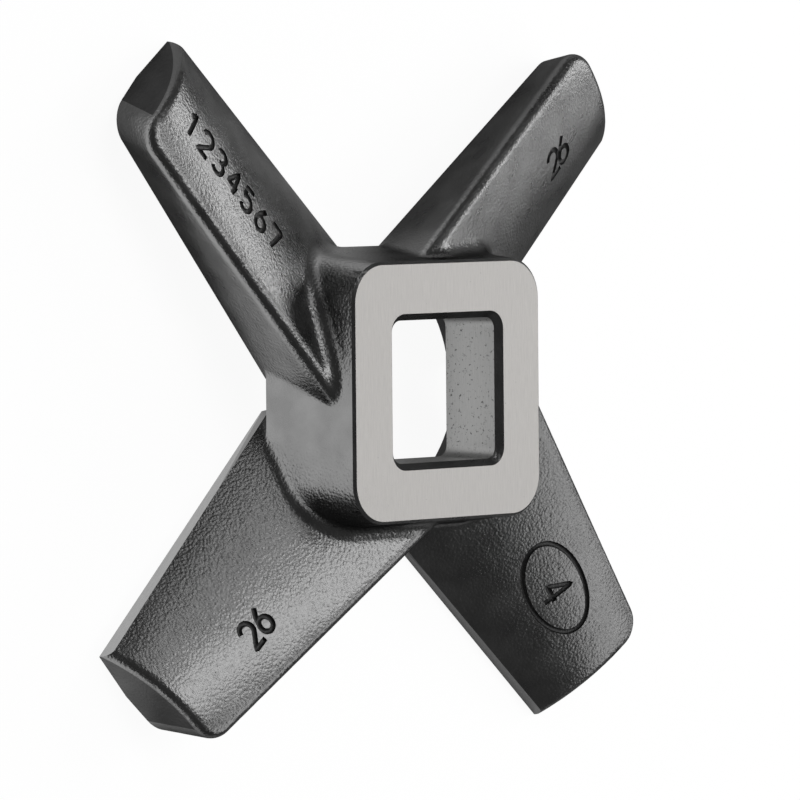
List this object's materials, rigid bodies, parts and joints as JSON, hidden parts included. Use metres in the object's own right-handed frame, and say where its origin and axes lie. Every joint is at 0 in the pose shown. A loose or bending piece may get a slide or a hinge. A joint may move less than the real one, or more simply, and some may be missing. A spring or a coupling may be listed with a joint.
{
  "type": "meat grinder knife",
  "caption": "Cross-shaped meat grinder knife with a square hub, a square driving hole and swept arms with flat ground cutting edges.",
  "frame": {"origin": "on the axis of the driving square, in the plane of the cutting edges, which the knife lies on", "axes": "+Z along the axis of the driving square, out of the hub face; X and Y square to the flats of the hub, with the arms on the diagonals"},
  "size_m": [0.0782, 0.0782, 0.015],
  "materials": {
    "cast_steel": "investment-cast grain on the arms and necks, ground hub face and cutting edges"
  },
  "bodies": {
    "root": {"knife": "cast_steel"}
  },
  "joints": []
}
